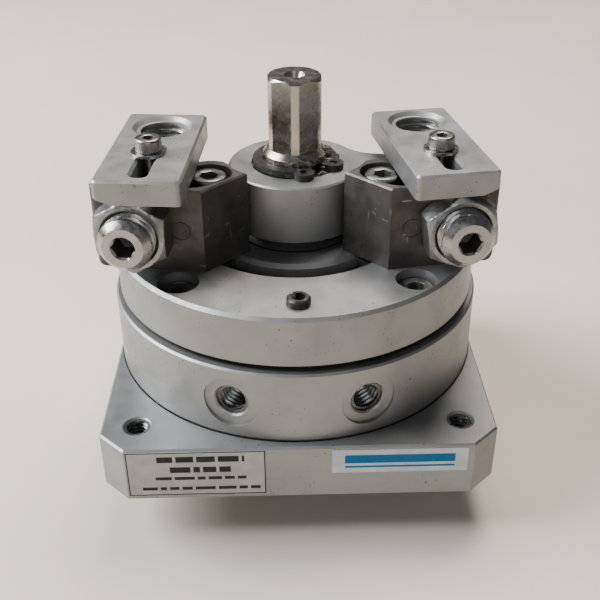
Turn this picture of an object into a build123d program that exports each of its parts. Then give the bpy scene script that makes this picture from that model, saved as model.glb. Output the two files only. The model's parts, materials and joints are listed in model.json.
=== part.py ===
from build123d import *
import os
from math import cos, hypot, radians, sin, sqrt, tan

# Semi-rotary pneumatic drive with a swivelling vane, a flanged output shaft underneath,
# a hexagonal shaft end on top, and an adjustable double stop that also carries two sensors.
# Millimetres, +Z up. The origin is the shaft axis where it leaves the output flange's lower face.

# ---- heights, from the output flange's face upwards ------------------------------------
flange_height = 7.4
flange_gap = 0.6
base_thickness = 9.6
drum_height = 12.0
neck_height = 0.95
rim_height = 7.95
base_bottom = flange_height + flange_gap
base_top = base_bottom + base_thickness
drum_top = base_top + drum_height
rim_bottom = drum_top + neck_height
housing_top = rim_bottom + rim_height
hub_bottom = housing_top + 1.85
hub_height = 9.2
hub_top = hub_bottom + hub_height
shaft_shoulder = hub_top + 1.9
hexagon_bottom = shaft_shoulder + 0.9
shaft_top = housing_top + 25.1
block_height = 13.1
block_bottom = housing_top + 0.03
block_top = block_bottom + block_height
stop_axis_height = housing_top + 7.1

# how far a cutting shape reaches past the surface that it cuts
past = 1.0
tolerance = 0.01

# ---- housing ---------------------------------------------------------------------------
base_width = 60.0
base_depth = 62.5
corner_cut_x = 4.0
corner_cut_y = 3.8
mount_spacing_x = 49.2
mount_spacing_y = 51.0
mount_thread = 2.0
mount_countersink = 2.2
edge_break = 0.3
journal_clearance = 1.0
collar_inner = 13.7
collar_outer = 15.0
collar_height = 1.0
collar_edge = 0.3
drum_radius = 29.85
drum_edge = 0.3
neck_radius = 28.3
rim_radius = 29.05
rim_edge = 0.5
rim_lower_edge = 0.15
chamber_radius = 21.0
chamber_play = 0.1
port_angle = 20.0
port_height = base_top + 6.05
port_thread = 2.5
port_mouth = 2.75
port_face_radius = 4.25
port_face_depth = 0.55
o_ring_radius = 22.2
o_ring_thickness = 0.5
o_ring_play = 0.02
cover_bore_clearance = 0.8

# annular T-slot in the cover, in which the two stops are clamped
slot_inner = 14.0
slot_outer = 17.5
slot_lip = 2.1
slot_depth = 5.0
slot_undercut = 1.4
slot_edge = 0.6
entry_width = 7.0

# four long screws hold base, drum and cover together
housing_screw_radius = 25.4
housing_screw_angle = 46.4
screw_thread = 1.5
screw_head = 2.75
screw_head_height = 3.0
screw_pocket = 3.1
screw_pocket_depth = 4.2
screw_clearance = 0.15
screw_socket = 2.5
screw_edge = 0.25
socket_share = 0.6
housing_screw_end = base_bottom + 2.5
thread_runout = 0.5
thread_play = 0.04

spring_pin_position = 24.75
spring_pin_radius = 1.75
spring_pin_bore = 1.0
spring_pin_slit = 0.6
spring_pin_slit_turn = 130.0
spring_pin_edge = 0.3
spring_pin_low = rim_bottom + 1.0
spring_pin_high = housing_top + 1.2

# ---- bearings and seals ----------------------------------------------------------------
upper_journal = 5.0
lower_journal = 6.0
upper_bearing_radius = 9.5
lower_bearing_radius = 10.5
bearing_width = 5.0
upper_bearing_bottom = drum_top + 3.4
lower_bearing_bottom = base_bottom + 1.0
seal_height = 2.6
seal_step = 1.5
seal_floor = 0.4
seal_wall = 0.7
seal_web = 0.8
race_thickness = 1.45
ball_radius = 1.15
ball_count = 10
ball_play = 0.04
cage_thickness = 0.6
cage_height = 3.4
journal_play = 0.02
seal_play = 0.05
wiper_radius = 8.3
wiper_play = 0.02
wiper_sink = 0.45
wiper_gap = 0.35

# ---- rotor -----------------------------------------------------------------------------
vane_boss = 9.0
vane_half_angle = 10.0
vane_seal_thickness = 1.3
stator_half_angle = 12.0
stator_inner = 10.2
flange_radius = 13.0
flange_edge = 0.5
flange_pitch = 9.0
flange_hole = 1.5
flange_hole_depth = 5.5
flange_centring = 3.5
flange_centring_depth = 2.0
hexagon_across = 8.1
hexagon_turned = 4.37
hexagon_chamfer = 0.45
centre_drill = 1.6
centre_drill_depth = 3.0
hub_radius = 10.46
hub_edge = 0.25
hub_recess = 6.9
hub_recess_depth = 0.8
lever_half_width = 3.2
lever_length = 25.5
lever_fillet = 6.0
circlip_thickness = 1.0
circlip_outer = 6.6
circlip_lug_radius = 8.1
circlip_lug_half_width = 1.6
circlip_gap_angle = -52.0
circlip_lug_spread = 27.0
circlip_groove = 0.35
circlip_play = 0.02
circlip_gap_half_angle = 13.0
circlip_eye = 0.6

# ---- stops: the right one is described, the left one is its mirror image ---------------
stop_tilt = 9.0
stop_axis_offset = 20.9
block_front = -17.4
block_back = -9.0
block_inner = 5.0
block_outer = 27.8
block_corner = 1.2
block_lower_round = 1.6
block_bore_clearance = 11.6
block_side_offset = 1.3
block_side_angle = 45.0
block_edge = 0.25
clamp_radius = (slot_inner + slot_outer) / 2
clamp_angle = -35.0
clamp_lobe = 5.0
clamp_pocket = 3.45
clamp_pocket_reach = 2.85
clamp_pocket_depth = 3.2
clamp_head_height = 3.0
clamp_nut_half_angle = 13.0
clamp_nut_play = 0.1
clamp_nut_gap = 0.3
clamp_nut_height = slot_depth - slot_lip - 0.5
clamp_nut_sink = 0.7
clamp_screw_gap = 0.4
stop_thread = 3.97
stop_outer_end = -24.7
stop_inner_end = -8.2
stop_chamfer = 0.95
stop_inner_chamfer = 0.5
stop_socket = 1.5
stop_socket_depth = 3.5
lock_nut_across = 10.4
lock_nut_thickness = 4.2
lock_nut_gap = 0.01
lock_nut_bevel = 30.0
right_nut_turn = -22.0
left_nut_turn = -30.0
buffer_radius = 2.4
buffer_bore = 2.5
buffer_bore_depth = 5.2
buffer_tip = -7.0
buffer_length = 5.1
buffer_edge = 0.4
moulding_mark = 1.5
moulding_mark_line = 0.15
moulding_mark_depth = 0.12
moulding_mark_at = 14.4
moulding_mark_drop = 0.43

# ---- sensor plates ---------------------------------------------------------------------
plate_width = 12.4
plate_length = 26.6
plate_thickness = 3.6
plate_bottom = block_top + 0.02
plate_top = plate_bottom + plate_thickness
plate_corner = 0.8
plate_edge = 0.3
plate_relief_across = 2.5
plate_relief_up = 1.0
plate_slot_half = 1.15
plate_slot_edge = 0.4
plate_slot_front = 2.9
plate_slot_back = 11.0
sensor_thread = 4.0
sensor_countersink = 4.6
sensor_from_back = 5.6
plate_screw_x = 21.24
plate_screw_y = -9.66
plate_screw_thread = 1.0
plate_screw_head = 1.95
plate_screw_head_height = 2.0
plate_screw_reach = 1.75
plate_screw_socket = 1.5
washer_play = 0.1
washer_radius = 2.6
washer_thickness = 0.4
right_plate_turn = 9.0
left_plate_turn = 4.2
right_plate_front = 8.95
left_plate_front = 10.4

# ---- labels on the base's front face ---------------------------------------------------
label_thickness = 0.12
data_label = (-25.7, -5.2, base_bottom + 1.0, base_top - 0.35)
maker_label = (4.7, 25.0, base_bottom + 4.7, base_top - 0.6)

RIGHT = "right"
LEFT = "left"
LOW = (Align.CENTER, Align.CENTER, Align.MIN)
FRONT_EDGE = -base_depth / 2


def rod(radius, low, high, x=0.0, y=0.0):
    """Upright cylinder between two heights."""
    return Pos(x, y, low) * Cylinder(radius, high - low, align=LOW)


def ring(inner, outer, low, high):
    """Flat ring about the shaft axis."""
    return rod(outer, low, high) - rod(inner, low - past, high + past)


def cone(radius_low, radius_high, low, high, x=0.0, y=0.0):
    """Upright frustum between two heights."""
    return Pos(x, y, low) * Cone(radius_low, radius_high, high - low, align=LOW)


def polar(radius, angle):
    return radius * cos(radians(angle)), radius * sin(radians(angle))


def sector(inner, outer, low, high, middle, half_angle):
    """Piece of a flat ring, between two radial planes."""
    reach = 2 * outer
    corners = [(0, 0), polar(reach, middle - half_angle), polar(reach, middle + half_angle)]
    wedge = Pos(0, 0, low) * extrude(make_face(Polyline(corners, close=True)), high - low)
    return ring(inner, outer, low, high) & wedge


def hexagon(across_flats, low, high, turn=0.0):
    """Upright hexagonal prism, with a corner on +X when turn is 0."""
    corner_radius = across_flats / sqrt(3)
    face = RegularPolygon(corner_radius, 6, rotation=turn)
    return Pos(0, 0, low) * extrude(face, high - low)


def torus_groove(radius, height, section):
    return Pos(0, 0, height) * Torus(radius, section)


def cap_screw(x, y, top, end, thread, head, head_height, socket):
    """Socket head cap screw pointing down, its head's upper face at top."""
    body = rod(head, top - head_height, top, x, y) + rod(thread, end, top - head_height, x, y)
    rim = edges_at(body, top)
    body = chamfer(rim, screw_edge)
    return body - Pos(x, y, 0) * hexagon(socket, top - socket_share * head_height, top + past)


def edges_at(shape, height):
    """Circular edges of a shape that lie flat at one height."""
    flat = shape.edges().filter_by(GeomType.CIRCLE)
    return flat.filter_by_position(Axis.Z, height - tolerance, height + tolerance)


def mount_points():
    half_x, half_y = mount_spacing_x / 2, mount_spacing_y / 2
    return [(sx * half_x, sy * half_y) for sx in (-1, 1) for sy in (-1, 1)]


def housing_screw_points():
    angles = [-180 + housing_screw_angle, -housing_screw_angle,
              housing_screw_angle, 180 - housing_screw_angle]
    return [polar(housing_screw_radius, angle) for angle in angles]


# ---- housing pieces --------------------------------------------------------------------
def make_collar():
    """Centring collar round the output flange, on the face that lies on a bracket."""
    low = base_bottom - collar_height
    collar = ring(collar_inner, collar_outer, low, base_bottom + edge_break)
    rim = edges_at(collar, low).filter_by(lambda e: abs(e.radius - collar_outer) < tolerance)
    return chamfer(rim, collar_edge)


def make_base_plate():
    half_x, half_y = base_width / 2, base_depth / 2
    corners = []
    for sx, sy in ((1, 1), (-1, 1), (-1, -1), (1, -1)):
        along_x = (sx * (half_x - corner_cut_x), sy * half_y)
        along_y = (sx * half_x, sy * (half_y - corner_cut_y))
        corners += [along_y, along_x] if sx == sy else [along_x, along_y]
    plate = Pos(0, 0, base_bottom) * extrude(make_face(Polyline(corners, close=True)), base_thickness)
    rims = plate.faces().sort_by(Axis.Z)
    plate = chamfer(rims[-1].edges() + rims[0].edges(), edge_break)
    plate += make_collar()
    plate -= rod(lower_journal + journal_clearance, base_bottom - past, base_top + past)
    plate -= rod(lower_bearing_radius, lower_bearing_bottom, base_top + past)
    plate -= ring(o_ring_radius - o_ring_thickness, o_ring_radius + o_ring_thickness,
                  base_top - 2 * o_ring_thickness, base_top + past)
    for x, y in mount_points():
        plate -= rod(mount_thread, base_bottom - past, base_top + past, x, y)
        depth = mount_countersink - mount_thread
        plate -= cone(mount_thread, mount_countersink, base_top - depth, base_top, x, y)
        plate -= cone(mount_countersink, mount_thread, base_bottom, base_bottom + depth, x, y)
    for x, y in housing_screw_points():
        plate -= rod(screw_thread + thread_play, housing_screw_end - thread_runout, base_top + past, x, y)
    return plate


def make_drum():
    drum = ring(chamber_radius, drum_radius, base_top, drum_top)
    rims = drum.edges().filter_by(GeomType.CIRCLE)
    drum = chamfer(rims.filter_by(lambda e: abs(e.radius - drum_radius) < tolerance), drum_edge)
    for x, y in housing_screw_points():
        drum -= rod(screw_thread + screw_clearance, base_top - past, drum_top + past, x, y)
    for side in (-1, 1):
        angle = -90 + side * port_angle
        to_port = Pos(0, 0, port_height) * Rot(0, 0, angle) * Rot(0, 90, 0)
        drum -= to_port * rod(port_thread, chamber_radius - past, drum_radius + past)
        seat = drum_radius - port_face_depth
        drum -= to_port * cone(port_thread, port_mouth, seat - port_mouth + port_thread, seat)
        drum -= to_port * rod(port_face_radius, seat, drum_radius + past)
    return drum


def make_cover():
    cover = rod(neck_radius, drum_top, rim_bottom) + rod(rim_radius, rim_bottom, housing_top)
    for height, edge in ((housing_top, rim_edge), (rim_bottom, rim_lower_edge)):
        rim = edges_at(cover, height).filter_by(lambda e: abs(e.radius - rim_radius) < tolerance)
        cover = chamfer(rim, edge)
    slot_floor = housing_top - slot_depth
    cover -= ring(slot_inner, slot_outer, slot_floor, housing_top + past)
    cover -= ring(slot_inner - slot_undercut, slot_outer + slot_undercut,
                  slot_floor, housing_top - slot_lip)
    inner_lip = edges_at(cover, housing_top).filter_by(lambda e: abs(e.radius - slot_inner) < tolerance)
    cover = chamfer(inner_lip, slot_edge)
    entry = Pos(0, clamp_radius, slot_floor) * Box(
        entry_width, slot_outer - slot_inner + 2 * slot_undercut, slot_depth + past, align=LOW)
    cover -= entry
    cover -= rod(upper_journal + cover_bore_clearance, drum_top - past, housing_top + past)
    cover -= rod(upper_bearing_radius, upper_bearing_bottom, housing_top + past)
    seal_seat = upper_bearing_radius - seal_step
    cover -= rod(seal_seat, drum_top + seal_floor, upper_bearing_bottom + past)
    cover -= ring(o_ring_radius - o_ring_thickness, o_ring_radius + o_ring_thickness,
                  drum_top - past, drum_top + 2 * o_ring_thickness)
    for x, y in housing_screw_points():
        cover -= rod(screw_thread + screw_clearance, drum_top - past, housing_top + past, x, y)
        cover -= rod(screw_pocket, housing_top - screw_pocket_depth, housing_top + past, x, y)
    cover -= rod(spring_pin_radius, spring_pin_low, housing_top + past, 0, -spring_pin_position)
    return cover


def make_retaining_disc():
    """Screwed-in disc that closes the upper bearing seat, flush with the cover."""
    bottom = upper_bearing_bottom + bearing_width
    return ring(wiper_radius, upper_bearing_radius, bottom, housing_top)


def make_o_ring(middle_height):
    section = o_ring_thickness - o_ring_play
    return torus_groove(o_ring_radius, middle_height, section)


def make_housing_screws():
    top = housing_top - screw_pocket_depth + screw_head_height
    return [cap_screw(x, y, top, housing_screw_end, screw_thread, screw_head, screw_head_height, screw_socket)
            for x, y in housing_screw_points()]


def make_spring_pin():
    pin = rod(spring_pin_radius, spring_pin_low, spring_pin_high)
    pin = chamfer(edges_at(pin, spring_pin_high), spring_pin_edge)
    pin -= rod(spring_pin_bore, spring_pin_low - past, spring_pin_high + past)
    height = spring_pin_high - spring_pin_low
    slit = Pos(0, 0, spring_pin_low - past) * Box(
        2 * spring_pin_radius, spring_pin_slit, height + 2 * past, align=(Align.MIN, Align.CENTER, Align.MIN))
    pin -= Rot(0, 0, spring_pin_slit_turn) * slit
    return Pos(0, -spring_pin_position, 0) * pin


def make_stator():
    return sector(stator_inner, chamber_radius, base_top, drum_top, -90, stator_half_angle)


def make_stator_seal():
    inner = vane_boss + seal_play
    return sector(inner, stator_inner, base_top, drum_top, -90, stator_half_angle / 2)


def make_label(left, right, bottom, top):
    plate = Box(right - left, label_thickness, top - bottom, align=(Align.MIN, Align.MAX, Align.MIN))
    return Pos(left, FRONT_EDGE, bottom) * plate


# ---- bearings and seals ----------------------------------------------------------------
def bearing(inner, outer, bottom):
    """Deep groove ball bearing: outer race, inner race, balls and cage."""
    middle = bottom + bearing_width / 2
    pitch = (inner + outer) / 2
    groove = torus_groove(pitch, middle, ball_radius + ball_play)
    outer_race = ring(outer - race_thickness, outer, bottom, bottom + bearing_width) - groove
    inner_race = ring(inner, inner + race_thickness, bottom, bottom + bearing_width) - groove
    cage = ring(pitch - cage_thickness / 2, pitch + cage_thickness / 2,
                middle - cage_height / 2, middle + cage_height / 2)
    balls = []
    for index in range(ball_count):
        x, y = polar(pitch, 360 * index / ball_count)
        balls.append(Pos(x, y, middle) * Sphere(ball_radius))
        pocket = Cylinder(ball_radius + ball_play, 4 * cage_thickness)
        cage -= Rot(0, 0, 360 * index / ball_count) * Pos(pitch, 0, middle) * Rot(0, 90, 0) * pocket
    return outer_race, inner_race, balls, cage


def lip_seal(inner, outer, bottom, height):
    """Rubber shaft seal with a hollow back and a lip round the shaft."""
    seal = ring(inner + seal_play, outer, bottom, bottom + height)
    return seal - ring(inner + seal_wall, outer - seal_wall, bottom + seal_web, bottom + height + past)


def make_wiper():
    """Dark ring that keeps dirt out between the stop lever and the cover."""
    return ring(upper_journal + seal_play, wiper_radius - wiper_play,
                housing_top - wiper_sink, hub_bottom - wiper_gap)


# ---- rotor pieces ----------------------------------------------------------------------
def make_drive_shaft():
    shaft = rod(flange_radius, 0, flange_height)
    shaft = chamfer(shaft.edges().filter_by(GeomType.CIRCLE), flange_edge)
    shaft += rod(lower_journal, flange_height, base_top + chamber_play)
    shaft += rod(vane_boss, base_top + chamber_play, drum_top - chamber_play)
    shaft += rod(upper_journal, drum_top - chamber_play, shaft_shoulder)
    shaft += cone(upper_journal, hexagon_turned, shaft_shoulder, hexagon_bottom)
    prism = hexagon(hexagon_across, hexagon_bottom, shaft_top, turn=30)
    turned = rod(hexagon_turned, hexagon_bottom, shaft_top - hexagon_chamfer)
    turned += cone(hexagon_turned, hexagon_turned - hexagon_chamfer, shaft_top - hexagon_chamfer, shaft_top)
    shaft += prism & turned
    shaft -= rod(centre_drill / 2, shaft_top - centre_drill_depth, shaft_top + past)
    shaft -= cone(centre_drill / 2, centre_drill, shaft_top - centre_drill, shaft_top)
    shaft -= ring(upper_journal - circlip_groove, upper_journal + past,
                  hub_top, hub_top + circlip_thickness + 2 * circlip_play)
    shaft -= rod(flange_centring, -past, flange_centring_depth)
    for index in range(4):
        x, y = polar(flange_pitch, 45 + 90 * index)
        shaft -= rod(flange_hole, -past, flange_hole_depth, x, y)
    return shaft


def make_vane():
    return sector(vane_boss, chamber_radius - vane_seal_thickness - chamber_play,
                  base_top + chamber_play + vane_seal_thickness,
                  drum_top - chamber_play - vane_seal_thickness, 0, vane_half_angle)


def make_vane_seal():
    whole = sector(vane_boss, chamber_radius - chamber_play, base_top + chamber_play,
                   drum_top - chamber_play, 0, vane_half_angle)
    core = sector(vane_boss - past, chamber_radius - vane_seal_thickness - chamber_play,
                  base_top + chamber_play + vane_seal_thickness,
                  drum_top - chamber_play - vane_seal_thickness, 0, 2 * vane_half_angle)
    return whole - core


def make_stop_lever():
    arm_middle = lever_length / 2
    arm = Pos(arm_middle, 0, hub_bottom) * Box(lever_length, 2 * lever_half_width, hub_height, align=LOW)
    # the hollow flanks that lead from the round hub into the arm
    reach = sqrt((hub_radius + lever_fillet) ** 2 - (lever_half_width + lever_fillet) ** 2)
    web = Pos(0, 0, hub_bottom) * Box(2 * reach, 2 * (lever_half_width + lever_fillet), hub_height, align=LOW)
    web &= Pos(reach / 2, 0, hub_bottom) * Box(reach, 4 * hub_radius, hub_height, align=LOW)
    for side in (-1, 1):
        web -= rod(lever_fillet, hub_bottom - past, hub_top + past,
                   reach, side * (lever_half_width + lever_fillet))
    tangent = reach * hub_radius / (hub_radius + lever_fillet)
    web &= Pos((reach + tangent) / 2, 0, hub_bottom) * Box(
        reach - tangent, 4 * hub_radius, hub_height, align=LOW)
    lever = rod(hub_radius, hub_bottom, hub_top) + web + arm
    rims = lever.faces().sort_by(Axis.Z)
    lever = chamfer(rims[-1].edges() + rims[0].edges(), hub_edge)
    lever -= rod(upper_journal + journal_play, hub_bottom - past, hub_top + past)
    lever -= rod(hub_recess, hub_top - hub_recess_depth, hub_top + past)
    return lever


def lug_point(side):
    reach = circlip_lug_radius - circlip_lug_half_width
    return polar(reach, circlip_gap_angle + side * circlip_lug_spread)


def make_circlip():
    low = hub_top + circlip_play
    high = low + circlip_thickness
    clip = ring(upper_journal - circlip_groove + circlip_play, circlip_outer, low, high)
    for side in (-1, 1):
        x, y = lug_point(side)
        clip += rod(circlip_lug_half_width, low, high, x, y)
    clip -= sector(past, circlip_lug_radius + past, low - past, high + past,
                   circlip_gap_angle, circlip_gap_half_angle)
    for side in (-1, 1):
        x, y = lug_point(side)
        clip -= rod(circlip_eye, low - past, high + past, x, y)
    return clip


# ---- stop pieces, all for the right-hand side ------------------------------------------
def stop_point(outward, inward):
    """Point in plan, from the distances along and across the tilted stop screw."""
    c, s = cos(radians(stop_tilt)), sin(radians(stop_tilt))
    return outward * c - inward * s, outward * s + inward * c


def along_stop_screw(shape):
    """Places a shape that was built upright about Z on the stop screw's axis."""
    x, y = stop_point(stop_axis_offset, 0)
    return Pos(x, y, stop_axis_height) * Rot(0, 0, stop_tilt) * Rot(-90, 0, 0) * shape


def make_clamp_pocket():
    """Pocket for the clamp screw's head, drawn out away from the shaft."""
    low, high = block_top - clamp_pocket_depth, block_top + past
    slot = SlotCenterToCenter(clamp_pocket_reach, 2 * clamp_pocket)
    middle = clamp_radius + clamp_pocket_reach / 2
    return Rot(0, 0, clamp_angle) * Pos(middle, 0, low) * extrude(slot, high - low)


def make_block_outline():
    """Everything inside the stop block's outline as seen along the stop screw, whose
    lower outer edge is rounded."""
    reach = 2 * block_outer
    outline = Pos(block_outer / 2, 0, block_bottom) * Box(
        block_outer, reach, block_height, align=(Align.CENTER, Align.CENTER, Align.MIN))
    edge = outline.edges().filter_by(Axis.Y).sort_by(Axis.Z)[:2].sort_by(Axis.X)[-1]
    outline = fillet(edge, block_lower_round)
    return Rot(0, 0, stop_tilt) * outline


def make_moulding_mark():
    x, y = stop_point(moulding_mark_at, 0)
    mark = rod(moulding_mark, block_front - past, block_front + moulding_mark_depth)
    mark -= rod(moulding_mark - moulding_mark_line, block_front - 2 * past, block_front + past)
    return Pos(x, y, stop_axis_height - moulding_mark_drop) * Rot(0, 0, stop_tilt) * Rot(-90, 0, 0) * mark


def make_stop_block():
    corners = [stop_point(outward, inward) for outward, inward in
               ((block_inner, block_front), (block_outer, block_front),
                (block_outer, block_back), (block_inner, block_back))]
    block = extrude(make_face(Polyline(corners, close=True)), block_height)
    lobe_x, lobe_y = polar(clamp_radius, clamp_angle)
    block += rod(clamp_lobe, 0, block_height, lobe_x, lobe_y)
    outer_edges = block.edges().filter_by(Axis.Z).filter_by(
        lambda e: hypot(e.center().X, e.center().Y) > (block_outer + clamp_radius) / 2)
    block = fillet(outer_edges, block_corner)
    reach = 4 * block_outer
    beyond = Rot(0, 0, -block_side_angle) * Pos(0, -block_side_offset, 0) * Box(
        reach, reach, 3 * block_height, align=(Align.CENTER, Align.MAX, Align.CENTER))
    block -= beyond
    block -= rod(block_bore_clearance, -past, block_height + past)
    rims = block.faces().sort_by(Axis.Z)
    block = chamfer(rims[-1].edges(), block_edge)
    block = Pos(0, 0, block_bottom) * block
    block &= make_block_outline()
    block -= rod(screw_thread + screw_clearance, block_bottom - past, block_top + past, lobe_x, lobe_y)
    block -= make_clamp_pocket()
    block -= along_stop_screw(rod(stop_thread + thread_play, block_front - past, block_back + 3 * past))
    block -= rod(plate_screw_thread + thread_play, stop_axis_height,
                 block_top + past, plate_screw_x, plate_screw_y)
    return block - make_moulding_mark()


def make_clamp_screw():
    x, y = polar(clamp_radius, clamp_angle)
    top = block_top - clamp_pocket_depth + clamp_head_height
    end = housing_top - slot_depth + clamp_screw_gap
    return cap_screw(x, y, top, end, screw_thread, screw_head, clamp_head_height, screw_socket)


def make_clamp_nut():
    low = housing_top - slot_depth + clamp_nut_gap
    high = low + clamp_nut_height
    foot = sector(slot_inner - slot_undercut + clamp_nut_play, slot_outer + slot_undercut - clamp_nut_play,
                  low, high, clamp_angle, clamp_nut_half_angle)
    tongue = sector(slot_inner + clamp_nut_play, slot_outer - clamp_nut_play,
                    high, housing_top - clamp_nut_sink, clamp_angle, clamp_nut_half_angle)
    x, y = polar(clamp_radius, clamp_angle)
    return foot + tongue - rod(screw_thread + thread_play, low - past, housing_top, x, y)


def make_lock_nut(turn):
    low, high = block_front - lock_nut_thickness, block_front - lock_nut_gap
    nut = hexagon(lock_nut_across, low, high, turn)
    corner_radius = lock_nut_across / sqrt(3)
    rise = (corner_radius - lock_nut_across / 2) * tan(radians(lock_nut_bevel))
    bevelled = rod(corner_radius, low + rise, high - rise)
    bevelled += cone(lock_nut_across / 2, corner_radius, low, low + rise)
    bevelled += cone(corner_radius, lock_nut_across / 2, high - rise, high)
    nut &= bevelled
    nut -= rod(stop_thread + thread_play, low - past, high + past)
    return along_stop_screw(nut)


def make_stop_screw():
    screw = rod(stop_thread, stop_outer_end + stop_chamfer, stop_inner_end - stop_inner_chamfer)
    screw += cone(stop_thread - stop_chamfer, stop_thread, stop_outer_end, stop_outer_end + stop_chamfer)
    screw += cone(stop_thread, stop_thread - stop_inner_chamfer,
                  stop_inner_end - stop_inner_chamfer, stop_inner_end)
    screw -= hexagon(2 * stop_socket, stop_outer_end - past, stop_outer_end + stop_socket_depth)
    screw -= rod(buffer_bore, stop_inner_end - buffer_bore_depth, stop_inner_end + past)
    return along_stop_screw(screw)


def make_buffer():
    plug = rod(buffer_radius, buffer_tip - buffer_length, buffer_tip)
    plug = chamfer(edges_at(plug, buffer_tip), buffer_edge)
    return along_stop_screw(plug)


def make_sensor_plate(turn, front_distance):
    """Plate that holds one sensor, slid and turned about its clamping screw.

    It is built with the screw at the origin and its front edge at -front_distance in Y."""
    back = plate_length - front_distance
    middle = (back - front_distance) / 2
    plate = Pos(0, middle, 0) * Box(plate_width, plate_length, plate_thickness, align=LOW)
    plate = fillet(plate.edges().filter_by(Axis.Z), plate_corner)
    side = plate_width / 2
    relief = [(side + past, 0), (side - plate_relief_across, 0),
              (side, plate_relief_up), (side + past, plate_relief_up)]
    profile = Plane.XZ * make_face(Polyline(relief, close=True))
    plate -= Pos(0, back + past, 0) * extrude(profile, plate_length + 2 * past)
    top_face = plate.faces().sort_by(Axis.Z)[-1]
    plate = chamfer(top_face.edges(), plate_edge)
    slot_length = plate_slot_back - plate_slot_front
    slot_middle = (plate_slot_front + plate_slot_back) / 2 - front_distance
    slot = SlotCenterToCenter(slot_length, 2 * plate_slot_half, rotation=90)
    plate -= Pos(0, slot_middle, -past) * extrude(slot, plate_thickness + 2 * past)
    slot_rim = plate.faces().sort_by(Axis.Z)[-1].inner_wires()[0].edges()
    plate = chamfer(slot_rim, plate_slot_edge)
    hole_y = back - sensor_from_back
    plate -= rod(sensor_thread, -past, plate_thickness + past, 0, hole_y)
    depth = sensor_countersink - sensor_thread
    plate -= cone(sensor_thread, sensor_countersink, plate_thickness - depth, plate_thickness, 0, hole_y)
    return Pos(plate_screw_x, plate_screw_y, plate_bottom) * Rot(0, 0, turn) * plate


def make_plate_screw():
    top = plate_top + washer_thickness + plate_screw_head_height
    end = plate_bottom - plate_screw_reach
    return cap_screw(plate_screw_x, plate_screw_y, top, end,
                     plate_screw_thread, plate_screw_head, plate_screw_head_height, plate_screw_socket)


def make_washer():
    disc = rod(washer_radius, plate_top, plate_top + washer_thickness)
    disc -= rod(plate_screw_thread + washer_play, plate_top - past, plate_top + past)
    return Pos(plate_screw_x, plate_screw_y, 0) * disc


def stop_nodes(side, plate_turn, plate_front, nut_turn):
    """All pieces of one stop; the left stop is mirrored about the YZ plane."""
    pieces = {
        "stop_block": make_stop_block(),
        "clamp_screw": make_clamp_screw(),
        "clamp_nut": make_clamp_nut(),
        "lock_nut": make_lock_nut(nut_turn),
        "stop_screw": make_stop_screw(),
        "stop_buffer": make_buffer(),
        "sensor_plate": make_sensor_plate(plate_turn, plate_front),
        "plate_screw": make_plate_screw(),
        "plate_washer": make_washer(),
    }
    if side == LEFT:
        pieces = {name: mirror(shape, about=Plane.YZ) for name, shape in pieces.items()}
    return {f"{side}_{name}": shape for name, shape in pieces.items()}


def all_nodes():
    nodes = {
        "base_plate": make_base_plate(),
        "vane_drum": make_drum(),
        "cover_ring": make_cover(),
        "bearing_retainer": make_retaining_disc(),
        "lower_o_ring": make_o_ring(base_top - o_ring_thickness),
        "upper_o_ring": make_o_ring(drum_top + o_ring_thickness),
        "housing_screws": make_housing_screws(),
        "spring_pin": make_spring_pin(),
        "stator": make_stator(),
        "stator_seal": make_stator_seal(),
        "data_label": make_label(*data_label),
        "maker_label": make_label(*maker_label),
        "lower_shaft_seal": lip_seal(lower_journal, lower_bearing_radius,
                                     lower_bearing_bottom + bearing_width, seal_height),
        "upper_shaft_seal": lip_seal(upper_journal, upper_bearing_radius - seal_step,
                                     drum_top + seal_floor, seal_height),
        "wiper_ring": make_wiper(),
        "drive_shaft": make_drive_shaft(),
        "vane": make_vane(),
        "vane_seal": make_vane_seal(),
        "stop_lever": make_stop_lever(),
        "circlip": make_circlip(),
    }
    bearings = {"upper": (upper_journal, upper_bearing_radius, upper_bearing_bottom),
                "lower": (lower_journal, lower_bearing_radius, lower_bearing_bottom)}
    for place, sizes in bearings.items():
        names = ("outer_race", "inner_race", "balls", "ball_cage")
        for name, shape in zip(names, bearing(*sizes)):
            nodes[f"{place}_{name}"] = shape
    nodes.update(stop_nodes(RIGHT, right_plate_turn, right_plate_front, right_nut_turn))
    nodes.update(stop_nodes(LEFT, left_plate_turn, left_plate_front, left_nut_turn))
    return nodes


def main():
    os.makedirs("parts", exist_ok=True)
    for name, shape in all_nodes().items():
        solids = shape if isinstance(shape, list) else shape.solids()
        export_step(Compound(children=list(solids), label=name), f"parts/{name}.step")


if __name__ == "__main__":
    main()
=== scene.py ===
import bmesh
import bpy
import json
import math
import random
from mathutils import Matrix, Vector


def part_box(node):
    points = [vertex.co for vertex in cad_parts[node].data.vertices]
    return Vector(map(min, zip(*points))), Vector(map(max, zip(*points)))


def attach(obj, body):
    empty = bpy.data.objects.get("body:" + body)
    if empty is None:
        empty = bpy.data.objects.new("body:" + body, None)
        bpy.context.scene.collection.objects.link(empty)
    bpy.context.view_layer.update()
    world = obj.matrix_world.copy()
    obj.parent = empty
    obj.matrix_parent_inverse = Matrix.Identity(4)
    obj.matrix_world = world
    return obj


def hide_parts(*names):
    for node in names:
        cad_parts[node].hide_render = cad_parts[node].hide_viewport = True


MM = 0.001

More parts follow.
